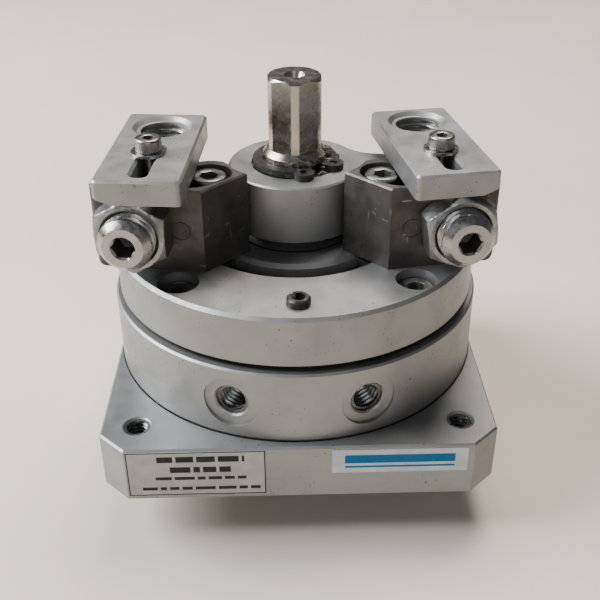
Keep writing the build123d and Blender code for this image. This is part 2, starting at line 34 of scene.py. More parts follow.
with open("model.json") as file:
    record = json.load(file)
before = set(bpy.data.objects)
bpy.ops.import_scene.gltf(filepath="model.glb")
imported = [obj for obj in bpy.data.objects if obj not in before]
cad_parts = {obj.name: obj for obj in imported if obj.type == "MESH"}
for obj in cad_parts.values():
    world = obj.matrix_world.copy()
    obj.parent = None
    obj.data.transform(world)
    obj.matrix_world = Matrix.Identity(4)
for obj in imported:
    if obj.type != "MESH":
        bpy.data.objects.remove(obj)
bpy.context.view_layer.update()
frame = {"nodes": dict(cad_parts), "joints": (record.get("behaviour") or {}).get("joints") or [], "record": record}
record = frame["record"]
mounts = {mount["name"]: mount for mount in record["mounts"]}
joint_axes = {joint["name"]: Vector(joint["axis"]) for joint in frame["joints"]}
SIDES = {"left": -1, "right": 1}


def low(name):
    return Vector(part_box(name)[0])


def high(name):
    return Vector(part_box(name)[1])


def centre(name):
    return (low(name) + high(name)) / 2


# ---- materials ----------------------------------------------------------------------------
class Surface:
    """A Principled material, and short calls that add procedural nodes to it."""

    def __init__(self, name, colour, roughness, metallic):
        self.material = bpy.data.materials.new(name)
        self.material.use_nodes = True
        self.tree = self.material.node_tree
        self.shader = self.tree.nodes["Principled BSDF"]
        self.shader.inputs["Base Color"].default_value = (*colour, 1)
        self.shader.inputs["Roughness"].default_value = roughness
        self.shader.inputs["Metallic"].default_value = metallic
        self.place = self.node("ShaderNodeTexCoord").outputs["Object"]
        self.normal = None

    def node(self, kind, inputs=None, **settings):
        made = self.tree.nodes.new(kind)
        for key, value in settings.items():
            setattr(made, key, value)
        for key, value in (inputs or {}).items():
            if isinstance(value, bpy.types.NodeSocket):
                self.tree.links.new(value, made.inputs[key])
            else:
                made.inputs[key].default_value = value
        return made

    def noise(self, size, detail=2.0, stretch=(1, 1, 1), distortion=0.0):
        """Noise with features of a given size in metres, drawn out along the smaller numbers of stretch."""
        scaled = self.node("ShaderNodeVectorMath", {0: self.place, 1: [s / size for s in stretch]},
                           operation="MULTIPLY")
        return self.node("ShaderNodeTexNoise", {"Vector": scaled.outputs[0], "Scale": 1.0,
                                                "Detail": detail, "Distortion": distortion}).outputs["Fac"]

    def lathe_marks(self, size):
        """Noise that runs round the shaft axis: circles on a turned face, hoops on a turned wall."""
        flat = self.node("ShaderNodeVectorMath", {0: self.place, 1: (1, 1, 0)}, operation="MULTIPLY")
        radius = self.node("ShaderNodeVectorMath", {0: flat.outputs[0]}, operation="LENGTH").outputs["Value"]
        height = self.node("ShaderNodeSeparateXYZ", {0: self.place}).outputs["Z"]
        both = self.node("ShaderNodeMath", {0: radius, 1: height}, operation="ADD").outputs[0]
        line = self.node("ShaderNodeMath", {0: both, 1: 1 / size}, operation="MULTIPLY").outputs[0]
        return self.node("ShaderNodeTexNoise", {"W": line, "Scale": 1.0, "Detail": 3.0},
                         noise_dimensions="1D").outputs["Fac"]

    def height(self):
        return self.node("ShaderNodeSeparateXYZ", {0: self.place}).outputs["Z"]

    def ramp(self, value, start, end, to_low=0.0, to_high=1.0):
        """Maps start..end to to_low..to_high and clamps the rest."""
        return self.node("ShaderNodeMapRange", {"Value": value, "From Min": start, "From Max": end,
                                                "To Min": to_low, "To Max": to_high}).outputs["Result"]

    def times(self, first, second):
        return self.node("ShaderNodeMath", {0: first, 1: second}, operation="MULTIPLY").outputs[0]

    def mix(self, factor, first, second):
        made = self.node("ShaderNodeMix", data_type="RGBA")
        for index, value in ((0, factor), (6, first), (7, second)):
            if isinstance(value, bpy.types.NodeSocket):
                self.tree.links.new(value, made.inputs[index])
            else:
                made.inputs[index].default_value = value if index == 0 else (*value, 1)
        return made.outputs[2]

    def joint_dirt_and_shade(self, radius, height, reach):
        """Mask of dirt and painted shade in a joint: 1 along a circle round the shaft axis, fading to 0 a reach
        away from it, with ragged edges.
        """
        place = self.node("ShaderNodeSeparateXYZ", {0: self.place})
        flat = self.node("ShaderNodeVectorMath", {0: self.place, 1: (1, 1, 0)}, operation="MULTIPLY")
        out = self.node("ShaderNodeVectorMath", {0: flat.outputs[0]}, operation="LENGTH").outputs["Value"]
        offset = self.node("ShaderNodeCombineXYZ", {0: out, 1: place.outputs["Z"]})
        gap = self.node("ShaderNodeVectorMath", {0: offset.outputs[0], 1: (radius, height, 0)},
                        operation="DISTANCE").outputs["Value"]
        near = self.ramp(gap, 0.7 * reach, reach, 1.0, 0.0)
        ragged = self.ramp(self.noise(0.7 * MM, 4.0), 0.22, 0.36)
        return self.times(near, ragged)

    def colour(self, socket):
        self.tree.links.new(socket, self.shader.inputs["Base Color"])

    def roughness(self, socket):
        self.tree.links.new(socket, self.shader.inputs["Roughness"])

    def bump(self, height, depth):
        """Adds relief of a given depth in metres to what is already there."""
        inputs = {"Height": height, "Distance": depth, "Strength": 1.0}
        if self.normal:
            inputs["Normal"] = self.normal
        self.normal = self.node("ShaderNodeBump", inputs).outputs["Normal"]
        self.tree.links.new(self.normal, self.shader.inputs["Normal"])


def grey(value, warmth=0.0):
    return value * (1 + warmth), value, value * (1 - warmth)


NECK_DEPTH = 1.55 * MM
GROOVE_MIDDLE = 0.55 * MM
# reaches of the dirt and painted shade at the drum's foot, in the groove and round the retainer
FOOT_DIRT_AND_SHADE, GROOVE_DIRT_AND_SHADE, RETAINER_DIRT_AND_SHADE = 0.16 * MM, 0.68 * MM, 0.2 * MM


def joints_with_dirt_and_shade():
    """Circles where dirt and painted shade sit, each with its reach: the drum's foot, the groove over the drum, in
    the shade of the overhang, and the outer edge of the bearing retainer."""
    drum_low, drum_high = low("vane_drum"), high("vane_drum")
    groove = drum_high.x - NECK_DEPTH
    retainer = high("bearing_retainer")
    return ((drum_high.x, drum_low.z, FOOT_DIRT_AND_SHADE), (groove, drum_high.z + GROOVE_MIDDLE, GROOVE_DIRT_AND_SHADE),
            (retainer.x, retainer.z, RETAINER_DIRT_AND_SHADE))


def anodised_aluminium(name, light, turned):
    """Satin clear-anodised aluminium with machining marks, handling stains, dark specks, and dirt with painted
    shade in the joints.
    """
    surface = Surface(name, grey(light), 0.4, 0.78)
    stains = surface.ramp(surface.noise(9 * MM, 4.0), 0.35, 0.7)
    clean = surface.mix(stains, grey(light * 0.9, 0.01), grey(light * 1.05, 0.0))
    patches = surface.ramp(surface.noise(5 * MM, 1.0), 0.48, 0.56)
    specks = surface.ramp(surface.noise(0.42 * MM, 2.0), 0.685, 0.715)
    shade = surface.mix(surface.times(patches, specks), clean, grey(0.03))
    # dark rings of dirt and painted shade at the drum's foot, in the groove and round the retainer
    for radius, height, reach in joints_with_dirt_and_shade():
        shade = surface.mix(surface.joint_dirt_and_shade(radius, height, reach), shade, grey(0.02, 0.05))
    surface.colour(shade)
    grain = surface.noise(0.12 * MM, 2.0)
    surface.roughness(surface.ramp(surface.noise(3 * MM, 5.0), 0.3, 0.75, 0.38, 0.54))
    surface.bump(grain, 0.008 * MM)
    if turned:
        surface.bump(surface.lathe_marks(0.3 * MM), 0.006 * MM)
    else:
        surface.bump(surface.noise(0.25 * MM, 2.0, (1, 0.08, 1)), 0.004 * MM)
    surface.bump(surface.ramp(surface.noise(1.3 * MM, 3.0), 0.68, 0.74), -0.012 * MM)
    return surface.material


def sintered_steel(name):
    """Dark sintered steel: pores, rub marks and a few bright scratches."""
    surface = Surface(name, grey(0.07), 0.5, 0.75)
    cloud = surface.ramp(surface.noise(4 * MM, 4.0), 0.3, 0.7)
    dark = surface.mix(cloud, grey(0.05, 0.05), grey(0.085, 0.07))
    scratch = surface.ramp(surface.noise(0.5 * MM, 2.0, (1, 1, 0.12), 0.4), 0.69, 0.73)
    nick = surface.ramp(surface.noise(0.7 * MM, 1.0, (0.2, 0.6, 1), 0.6), 0.72, 0.76)
    marked = surface.mix(scratch, dark, grey(0.15, 0.03))
    surface.colour(surface.mix(nick, marked, grey(0.2, 0.02)))
    surface.roughness(surface.ramp(surface.noise(1.5 * MM, 5.0), 0.3, 0.7, 0.4, 0.62))
    surface.bump(surface.noise(0.16 * MM, 3.0), 0.02 * MM)
    surface.bump(surface.ramp(surface.noise(0.6 * MM, 2.0), 0.66, 0.75), -0.03 * MM)
    return surface.material


def zinc_plated_steel(name, light):
    """Dull zinc with a spotty, slightly etched skin; a low light value gives a darker copy, which is painted
    shade.
    """
    surface = Surface(name, grey(light), 0.4, 1.0)
    cloud = surface.ramp(surface.noise(1.6 * MM, 5.0), 0.3, 0.7)
    skin = surface.mix(cloud, grey(light * 0.72, 0.0), (light * 1.02, light * 1.04, light))
    spots = surface.ramp(surface.noise(0.42 * MM, 2.0), 0.63, 0.7)
    surface.colour(surface.mix(spots, skin, grey(0.1, 0.02)))
    surface.roughness(surface.ramp(surface.noise(0.7 * MM, 4.0), 0.3, 0.7, 0.3, 0.52))
    surface.bump(surface.noise(0.2 * MM, 3.0), 0.015 * MM)
    surface.bump(spots, -0.02 * MM)
    return surface.material


def bright_steel(name, light, warmth, roughness):
    """Ground and polished steel with fine marks and a thin film of oil."""
    surface = Surface(name, grey(light, warmth), roughness, 1.0)
    film = surface.ramp(surface.noise(2.2 * MM, 5.0), 0.35, 0.7)
    clean = surface.mix(film, grey(light * 0.85, warmth * 1.6), grey(light, warmth))
    spots = surface.ramp(surface.noise(0.35 * MM, 2.0), 0.7, 0.75)
    surface.colour(surface.mix(spots, clean, grey(0.12, 0.1)))
    surface.roughness(surface.ramp(surface.noise(0.8 * MM, 5.0), 0.3, 0.7, roughness * 0.75, roughness * 1.5))
    surface.bump(surface.noise(0.1 * MM, 2.0), 0.002 * MM)
    return surface.material


def shaft_steel(name):
    """Polished hexagon that gets darker and grimier towards the stop lever."""
    surface = Surface(name, grey(0.45, 0.08), 0.2, 1.0)
    film = surface.ramp(surface.noise(2.5 * MM, 5.0), 0.3, 0.7)
    clean = surface.mix(film, grey(0.3, 0.13), grey(0.38, 0.08))
    bottom = high("stop_lever").z
    dirty_zone = surface.ramp(surface.height(), bottom + 1.2 * MM, bottom + 4 * MM, 1.0, 0.0)
    patches = surface.ramp(surface.noise(0.6 * MM, 5.0), 0.5, 0.62)
    grime = surface.times(dirty_zone, patches)
    surface.colour(surface.mix(grime, clean, grey(0.05, 0.08)))
    surface.roughness(surface.ramp(surface.noise(1.2 * MM, 5.0), 0.3, 0.7, 0.2, 0.32))
    surface.bump(surface.noise(0.25 * MM, 2.0, (1, 1, 0.06)), 0.002 * MM)
    surface.bump(grime, 0.015 * MM)
    return surface.material


def dark_steel(name):
    """Phosphated spring steel, worn grey where it stands proud."""
    surface = Surface(name, grey(0.04), 0.42, 0.4)
    wear = surface.ramp(surface.noise(0.8 * MM, 5.0), 0.52, 0.72)
    surface.colour(surface.mix(wear, grey(0.02, 0.05), grey(0.07, 0.1)))
    surface.roughness(surface.ramp(surface.noise(0.5 * MM, 4.0), 0.3, 0.7, 0.32, 0.6))
    surface.bump(surface.noise(0.15 * MM, 3.0), 0.015 * MM)
    return surface.material


def black_rubber(name):
    """Nitrile rubber with a dull skin and dust."""
    surface = Surface(name, grey(0.02), 0.6, 0.0)
    dust = surface.ramp(surface.noise(1.1 * MM, 5.0), 0.45, 0.75)
    surface.colour(surface.mix(dust, grey(0.012), grey(0.045, 0.05)))
    surface.roughness(surface.ramp(surface.noise(0.6 * MM, 4.0), 0.3, 0.7, 0.45, 0.75))
    surface.bump(surface.noise(0.2 * MM, 3.0), 0.03 * MM)
    return surface.material


def brass_sheet(name):
    surface = Surface(name, (0.6, 0.44, 0.2), 0.3, 1.0)
    cloud = surface.ramp(surface.noise(1.5 * MM, 4.0), 0.3, 0.7)
    surface.colour(surface.mix(cloud, (0.5, 0.35, 0.16), (0.66, 0.5, 0.24)))
    surface.roughness(surface.ramp(surface.noise(0.8 * MM, 4.0), 0.3, 0.7, 0.22, 0.42))
    surface.bump(surface.noise(0.2 * MM, 2.0), 0.005 * MM)
    return surface.material


def label_foil(name, colour):
    """Satin foil, a little wavy and rubbed."""
    surface = Surface(name, colour, 0.4, 0.35)
    rubbed = surface.ramp(surface.noise(2.5 * MM, 5.0), 0.35, 0.7)
    darker = tuple(0.82 * part for part in colour)
    surface.colour(surface.mix(rubbed, darker, colour))
    surface.roughness(surface.ramp(surface.noise(1.5 * MM, 4.0), 0.3, 0.7, 0.32, 0.5))
    surface.bump(surface.noise(3 * MM, 2.0), 0.02 * MM)
    return surface.material


def label_ink(name, colour):
    """Printed ink, thin and slightly broken."""
    surface = Surface(name, colour, 0.6, 0.0)
    surface.shader.inputs["Specular IOR Level"].default_value = 0.15
    worn = surface.ramp(surface.noise(1.2 * MM, 4.0), 0.6, 0.72)
    faded = tuple(0.8 * part + 0.03 for part in colour)
    surface.colour(surface.mix(worn, colour, faded))
    surface.roughness(surface.ramp(surface.noise(0.5 * MM, 3.0), 0.3, 0.7, 0.5, 0.75))
    return surface.material


def grime(name, light):
    """Dark grease with grit in it, so near black that it also stands for painted shade in sockets and in the
    recess round the shaft.
    """
    surface = Surface(name, grey(light), 0.4, 0.0)
    grit = surface.ramp(surface.noise(0.15 * MM, 3.0), 0.55, 0.75)
    surface.colour(surface.mix(grit, grey(light, 0.15), grey(0.07, 0.15)))
    surface.roughness(surface.ramp(surface.noise(0.3 * MM, 3.0), 0.3, 0.7, 0.25, 0.6))
    surface.bump(surface.noise(0.12 * MM, 3.0), 0.04 * MM)
    return surface.material


def make_materials():
    made = {
        "anodised_aluminium": anodised_aluminium("anodised_aluminium", 0.27, turned=False),
        "turned_aluminium": anodised_aluminium("turned_aluminium", 0.27, turned=True),
        "sintered_steel": sintered_steel("sintered_steel"),
        "zinc_plated_steel": zinc_plated_steel("zinc_plated_steel", 0.31),
        # darker copy of the zinc, which is painted shade
        "shaded_zinc": zinc_plated_steel("shaded_zinc", 0.17),
        "bright_steel": bright_steel("bright_steel", 0.42, 0.03, 0.22),
        "stop_screw_steel": bright_steel("stop_screw_steel", 0.34, 0.02, 0.27),
        "worn_steel": bright_steel("worn_steel", 0.27, 0.04, 0.3),
        # thread steel darkened for oil and for painted shade inside the holes
        "thread_oil_and_shade": bright_steel("thread_oil_and_shade", 0.13, 0.0, 0.28),
        "bearing_steel": bright_steel("bearing_steel", 0.55, 0.01, 0.12),
        "shaft_steel": shaft_steel("shaft_steel"),
        "brass_sheet": brass_sheet("brass_sheet"),
        "blackened_steel": dark_steel("blackened_steel"),
        "black_rubber": black_rubber("black_rubber"),
        "printed_label": label_foil("printed_label", (0.36, 0.36, 0.35)),
        "blue_label": label_foil("blue_label", (0.47, 0.52, 0.56)),
        "black_ink": label_ink("black_ink", (0.02, 0.02, 0.022)),
        "blue_ink": label_ink("blue_ink", (0.01, 0.11, 0.27)),
        # near-black grease lumps in the shaft's recess: grease and painted shade
        "grime": grime("grime", 0.015),
        # near-black grease in the hexagon sockets: dirt and painted shade
        "socket_dirt_and_shade": grime("socket_dirt_and_shade", 0.035),
    }
    return made


MATERIALS = make_materials()
TURNED = ("vane_drum", "cover_ring", "bearing_retainer", "stop_lever")


def dress_cad_nodes():
    """Gives every CAD node that stays visible the material of its slot."""
    slots = {part["node"]: part["material_slot"] for part in record["subparts"]}
    for name, piece in frame["nodes"].items():
        finish = slots[name]
        if name in TURNED:
            finish = "turned_aluminium"
        if name == "drive_shaft":
            finish = "shaft_steel"
        piece.data.materials.clear()
        piece.data.materials.append(MATERIALS[finish])


# ---- mesh pieces --------------------------------------------------------------------------
SMOOTH_BELOW = math.radians(32)


def add_piece(name, meshes, finishes, body):
    """One object from a list of (vertices, faces, index of each face's finish), riding on a body."""
    vertices, faces, indices = [], [], []
    for part_vertices, part_faces, part_indices in meshes:
        start = len(vertices)
        vertices += part_vertices
        faces += [[start + index for index in face] for face in part_faces]
        indices += part_indices
    mesh = bpy.data.meshes.new(name)
    mesh.from_pydata(vertices, [], faces)
    shape = bmesh.new()
    shape.from_mesh(mesh)
    bmesh.ops.recalc_face_normals(shape, faces=shape.faces)
    shape.to_mesh(mesh)
    shape.free()
    mesh.shade_smooth()
    mesh.set_sharp_from_angle(angle=SMOOTH_BELOW)
    for finish in finishes:
        mesh.materials.append(MATERIALS[finish])
    for polygon, index in zip(mesh.polygons, indices):
        polygon.material_index = index
    piece = bpy.data.objects.new(name, mesh)
    bpy.context.scene.collection.objects.link(piece)
    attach(piece, body)
    return piece


def loft(rings, place, segments=96, hollow=False, inner=0):
    """Skin through rings round a local Z axis.

    A ring is (height, radius), in metres, where the radius may be a function of the angle.
    A hollow loft joins its last ring to its first; a solid one is closed by points on the axis.
    The skin between the last so many rings, inner, gets the piece's second finish."""
    vertices, faces, indices = [], [], []
    for height, radius in rings:
        for step in range(segments):
            angle = math.tau * step / segments
            reach = radius(angle) if callable(radius) else radius
            vertices.append(place @ Vector((reach * math.cos(angle), reach * math.sin(angle), height)))
    count = len(rings)
    for row in range(count if hollow else count - 1):
        for step in range(segments):
            beside = (step + 1) % segments
            above = (row + 1) % count
            faces.append([row * segments + step, row * segments + beside,
                          above * segments + beside, above * segments + step])
            indices.append(int(row >= count - 1 - inner) if inner else 0)
    if not hollow:
        for row, outline in ((0, rings[0]), (count - 1, rings[-1])):
            vertices.append(place @ Vector((0, 0, outline[0])))
            tip = len(vertices) - 1
            faces += [[row * segments + step, row * segments + (step + 1) % segments, tip]
                      for step in range(segments)]
            indices += [int(inner > 0 and row > 0)] * segments
    return vertices, faces, indices


def along(axis, point):
    """Matrix that puts a loft's Z axis along an axis through a point."""
    return Matrix.Translation(point) @ Vector(axis).to_track_quat("Z", "Y").to_matrix().to_4x4()


def hexagon(across, turn=0.0):
    """Radius of a hexagon's outline at an angle, with a corner at turn."""
    def radius(angle):
        within = (angle - turn) % (math.pi / 3) - math.pi / 6
        return across / 2 / math.cos(within)
    return radius


STEPS_PER_PITCH = 8
THREAD_FLAT = 0.14


def thread_rings(major, minor, pitch, start, end):
    """Rings of a screw thread between two heights, which runs out smoothly at both ends."""
    steps = max(2, round(abs(end - start) / pitch * STEPS_PER_PITCH))

    def ring(height):
        run_out = min(abs(height - start), abs(end - height)) / pitch

        def radius(angle):
            phase = (height / pitch - angle / math.tau) % 1
            flank = (abs(2 * phase - 1) - THREAD_FLAT) / (1 - 2 * THREAD_FLAT)
            depth = min(1, max(0, flank)) * min(1, 1.6 * run_out)
            return major - (major - minor) * depth
        return height, radius
    return [ring(start + (end - start) * step / steps) for step in range(steps + 1)]


# ---- threads in the tapped holes ----------------------------------------------------------
METRIC = {"M3": (1.5, 0.5), "M4": (2.0, 0.7), "M5": (2.5, 0.8), "M8x1": (4.0, 1.0)}
THREAD_DEPTH = 0.6
CREST_PLAY = 0.05
SLEEVE_SKIN = 0.004
PORT_THREAD_LENGTH = 7.6 * MM
SENSOR_THREAD_LENGTH = 2.98 * MM
CORNER_THREAD_SPAN = (9.4 * MM, 0.2 * MM)
FLANGE_THREAD_LENGTH = 5.2 * MM
FLANGE_THREAD_START = 0.1 * MM
FLANGE_HOLE_COUNT = 4


def tapped_thread(size, place, length):
    """The turns of an inside thread, as a sleeve that lines its hole; place is the hole's middle."""
    major, pitch = METRIC[size]
    minor = major - THREAD_DEPTH * pitch
    ends = (-length / 2, length / 2)
    inside = thread_rings(minor * MM, (major - CREST_PLAY) * MM, pitch * MM, *ends)
    wall = (major + SLEEVE_SKIN) * MM
    return loft([(ends[1], wall), (ends[0], wall)] + inside, place, 72, hollow=True)


def line_tapped_holes():
    for side in SIDES:
        port = mounts[f"{side}_air_port"]
        place = along(port["axis"], Vector(port["pos_m"]))
        # the port's thread is darkened for oil and for painted shade inside the hole
        add_piece(f"{side}_air_port_thread", [tapped_thread("M5", place, PORT_THREAD_LENGTH)],
                  ["thread_oil_and_shade"], "housing")
        hole = mounts[f"{side}_sensor_hole"]
        place = along(hole["axis"], Vector(hole["pos_m"]))
        add_piece(f"{side}_sensor_hole_thread", [tapped_thread("M8x1", place, SENSOR_THREAD_LENGTH)],
                  ["anodised_aluminium"], f"{side}_plate")
    line_corner_holes()
    line_flange_holes()


def line_corner_holes():
    pattern = mounts["base_holes"]["dims"]
    half_x, half_y = pattern["spacing_x_mm"] / 2 * MM, pattern["spacing_y_mm"] / 2 * MM
    bottom, top = (low("vane_drum").z - depth for depth in CORNER_THREAD_SPAN)
    threads = []
    for x in (-half_x, half_x):
        for y in (-half_y, half_y):
            place = Matrix.Translation((x, y, (bottom + top) / 2))
            threads.append(tapped_thread("M4", place, top - bottom))
    # these threads are darkened for oil and for painted shade inside the holes
    add_piece("corner_hole_threads", threads, ["thread_oil_and_shade"], "housing")


def line_flange_holes():
    radius = mounts["output_flange_holes"]["dims"]["pcd_mm"] / 2 * MM
    middle = FLANGE_THREAD_LENGTH / 2 + FLANGE_THREAD_START
    threads = []
    for step in range(FLANGE_HOLE_COUNT):
        angle = math.radians(45 + 90 * step)
        place = Matrix.Translation((radius * math.cos(angle), radius * math.sin(angle), middle))
        threads.append(tapped_thread("M3", place, FLANGE_THREAD_LENGTH))
    add_piece("flange_hole_threads", threads, ["bright_steel"], "rotor")


# ---- screws and nuts ----------------------------------------------------------------------
KNURLS = 36
KNURL_SEGMENTS = 4 * KNURLS
KNURL_DEPTH = 0.045
WORN_KNURL_DEPTH = 0.02
HEAD_EDGE = 0.13
SOCKET_MOUTH = 0.1


def cap_screw(place, head, head_height, thread, end, socket, socket_depth, knurl_depth=KNURL_DEPTH):
    """Socket head cap screw: knurled head, rounded rim, chamfered hexagon socket, plain shank.

    place puts the local origin on the axis at the head's top, with Z pointing out of the socket."""
    def knurled(angle):
        return head * (1 - knurl_depth * (0.5 + 0.5 * math.cos(KNURLS * angle)))
    mouth = socket / math.sqrt(3) + SOCKET_MOUTH * head / 2
    edge = HEAD_EDGE * head
    rings = [(end, thread * 0.8), (end + 0.3 * thread, thread), (-head_height, thread),
             (-head_height, head * 0.93), (-head_height + edge / 2, knurled), (-3 * edge, knurled),
             (-2 * edge, head * 0.985)]
    for step in range(1, 5):
        turn = math.pi / 2 * step / 4
        rings.append((-edge * (1 - math.sin(turn)) - edge * 0.4 * math.cos(turn),
                      head * 0.985 - edge * (1 - math.cos(turn))))
    rings += [(0, mouth), (-0.04 * head, hexagon(socket)), (-socket_depth, hexagon(socket)),
              (-socket_depth - 0.2 * socket, 0.1 * socket)]
    # the socket's inner skin takes the second finish, dirt and painted shade
    return loft(rings, place, KNURL_SEGMENTS, inner=2)


M3_HEAD, M3_HEAD_HEIGHT, M3_SOCKET, M3_SOCKET_DEPTH = 2.75, 3.0, 2.5, 1.8
M2_HEAD, M2_HEAD_HEIGHT, M2_SOCKET, M2_SOCKET_DEPTH = 1.95, 2.0, 1.5, 1.1


def m3_screw(x, y, top, bottom, turn):
    place = Matrix.Translation((x, y, top)) @ Matrix.Rotation(turn, 4, "Z")
    return cap_screw(place, M3_HEAD * MM, M3_HEAD_HEIGHT * MM, METRIC["M3"][0] * MM,
                     bottom - top, M3_SOCKET * MM, M3_SOCKET_DEPTH * MM)


def make_housing_screws():
    """Four screws in the cover; the pair on the left gets the darker copy of the zinc, which is painted shade."""
    first, last = low("housing_screws"), high("housing_screws")
    reach = last.x - M3_HEAD * MM
    for side, sign in SIDES.items():
        screws = [m3_screw(sign * reach, y, last.z, first.z, turn)
                  for y, turn in ((first.y + M3_HEAD * MM, 0.5), (last.y - M3_HEAD * MM, 0.1))]
        # the left pair takes the zinc darkened as painted shade
        finish = "shaded_zinc" if side == "left" else "zinc_plated_steel"
        piece = add_piece(f"{side}_housing_cap_screws", screws, [finish, "socket_dirt_and_shade"],
                          "housing")
        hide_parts("housing_screws")


def make_stop_cap_screws():
    """The clamp screw of each stop and the small screw that holds its sensor plate."""
    for side in SIDES:
        name = f"{side}_clamp_screw"
        middle = centre(name)
        screw = m3_screw(middle.x, middle.y, high(name).z, low(name).z, 0.3)
        # the clamp screw takes the zinc darkened as painted shade
        piece = add_piece(f"{side}_clamp_cap_screw", [screw], ["shaded_zinc", "socket_dirt_and_shade"],
                          f"{side}_stop")
        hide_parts(name)
        name = f"{side}_plate_screw"
        middle = centre(name)
        place = Matrix.Translation((middle.x, middle.y, high(name).z)) @ Matrix.Rotation(0.2, 4, "Z")
        screw = cap_screw(place, M2_HEAD * MM, M2_HEAD_HEIGHT * MM, 1.0 * MM, low(name).z - high(name).z,
                          M2_SOCKET * MM, M2_SOCKET_DEPTH * MM, WORN_KNURL_DEPTH)
        piece = add_piece(f"{side}_plate_cap_screw", [screw], ["worn_steel", "socket_dirt_and_shade"],
                          f"{side}_stop")
        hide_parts(name)


STOP_SCREW_LENGTH = 16.5
STOP_SCREW_CHAMFER = 0.95
STOP_SCREW_SOCKET = 3.0
STOP_SCREW_SOCKET_DEPTH = 3.5
STOP_SCREW_PLAY = 0.03
LEAD_CHAMFER = 0.5
THREAD_START = 0.6
THREAD_END = 0.15
FACE_EDGE = 0.05
MOUTH_CHAMFER = (0.12, 0.25)
SOCKET_CONE = 0.6
BUFFER_BORE = 2.5
BUFFER_BORE_DEPTH = 5.2


def make_stop_screws():
    """Set screws with a fine thread, a polished point chamfer and a bore for the buffer."""
    major, pitch = METRIC["M8x1"]
    for side in SIDES:
        name = f"{side}_stop_screw"
        place = along(joint_axes[f"{side}_stop_screw_travel"], centre(name))
        half = STOP_SCREW_LENGTH / 2
        face = major - STOP_SCREW_CHAMFER
        mouth = STOP_SCREW_SOCKET / math.sqrt(3)
        rings = [(-half + BUFFER_BORE_DEPTH, 0.01), (-half + BUFFER_BORE_DEPTH, BUFFER_BORE),
                 (-half, BUFFER_BORE), (-half, major - 0.6), (-half + LEAD_CHAMFER, major - 0.1)]
        rings += [(height / MM, radius_in_mm(radius)) for height, radius in thread_rings(
            (major - STOP_SCREW_PLAY) * MM, (major - THREAD_DEPTH * pitch) * MM, pitch * MM,
            (-half + THREAD_START) * MM, (half - STOP_SCREW_CHAMFER - THREAD_END) * MM)]
        rings += [(half - STOP_SCREW_CHAMFER, major - STOP_SCREW_PLAY), (half - 0.08, face + FACE_EDGE),
                  (half, face - FACE_EDGE), (half, mouth + MOUTH_CHAMFER[0]),
                  (half - MOUTH_CHAMFER[1], hexagon(STOP_SCREW_SOCKET)),
                  (half - STOP_SCREW_SOCKET_DEPTH, hexagon(STOP_SCREW_SOCKET)),
                  (half - STOP_SCREW_SOCKET_DEPTH - SOCKET_CONE, 0.2)]
        screw = loft(in_metres(rings), place, 120, inner=2)
        piece = add_piece(f"{side}_threaded_stop_screw", [screw], ["stop_screw_steel", "socket_dirt_and_shade"],
                          f"{side}_screw")
        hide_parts(name)


def radius_in_mm(radius):
    return lambda angle: radius(angle) / MM


def in_metres(rings):
    """Rings given in millimetres, as the loft takes them."""
    def scaled(radius):
        return (lambda angle: radius(angle) * MM) if callable(radius) else radius * MM
    return [(height * MM, scaled(radius)) for height, radius in rings]


NUT_ACROSS = 10.4
NUT_THICKNESS = 4.19
NUT_HOLE = 4.02
NUT_COUNTERSINK = 4.4
NUT_COUNTERSINK_DEPTH = 0.4
NUT_BEVEL = math.radians(30)
NUT_BEVEL_STEPS = 5
NUT_BEVEL_REACH = 1.25
NUT_FACE_SHARE = 0.96
NUT_TURN = {"left": math.radians(-30), "right": math.radians(-22)}


def make_lock_nuts():
    """Thin hexagon nuts with a turned bevel at both ends and a countersunk thread."""
    corner = NUT_ACROSS / math.sqrt(3)
    rise = (corner - NUT_ACROSS / 2) * math.tan(NUT_BEVEL)
    washer_face = NUT_FACE_SHARE * NUT_ACROSS / 2

    def outline(depth, turn):
        """The hexagon, cut by the bevel cone at a depth below the nut's face."""
        cone = washer_face + depth / math.tan(NUT_BEVEL)
        flats = hexagon(NUT_ACROSS, turn)
        return lambda angle: min(flats(angle), cone)
    for side, sign in SIDES.items():
        name = f"{side}_lock_nut"
        place = along(joint_axes[f"{side}_stop_screw_travel"], centre(name))
        half = NUT_THICKNESS / 2
        turn = sign * NUT_TURN[side]
        depths = [rise * step / NUT_BEVEL_STEPS * NUT_BEVEL_REACH for step in range(NUT_BEVEL_STEPS + 1)]
        rings = [(half, NUT_COUNTERSINK), (half, washer_face)]
        rings += [(half - depth, outline(depth, turn)) for depth in depths]
        rings += [(-half + depth, outline(depth, turn)) for depth in reversed(depths)]
        hole = half - NUT_COUNTERSINK_DEPTH
        rings += [(-half, washer_face), (-half, NUT_COUNTERSINK), (-hole, NUT_HOLE), (hole, NUT_HOLE)]
        nut = loft(in_metres(rings), place, 144, hollow=True)
        piece = add_piece(f"{side}_hexagon_lock_nut", [nut], ["zinc_plated_steel"],
                          f"{side}_stop")
        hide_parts(name)


# ---- labels -------------------------------------------------------------------------------
INK = 0.02
FRAME_LINE = 0.16 * MM
DASH_GAP = 0.45 * MM
BAR_INSET = 1.9 * MM


def slab(left, right, bottom, top, front):
    """Thin raised rectangle on the base's front face; front is its outer Y."""
    corners = [Vector((x, y, z)) for y in (front, front + INK * MM)
               for x, z in ((left, bottom), (right, bottom), (right, top), (left, top))]
    faces = [[0, 1, 2, 3], [7, 6, 5, 4], [0, 4, 5, 1], [1, 5, 6, 2], [2, 6, 7, 3], [3, 7, 4, 0]]
    return corners, faces, [0] * len(faces)


def outline_slabs(left, right, bottom, top, line, front):
    return [slab(left, right, bottom, bottom + line, front), slab(left, right, top - line, top, front),
            slab(left, left + line, bottom, top, front), slab(right - line, right, bottom, top, front)]


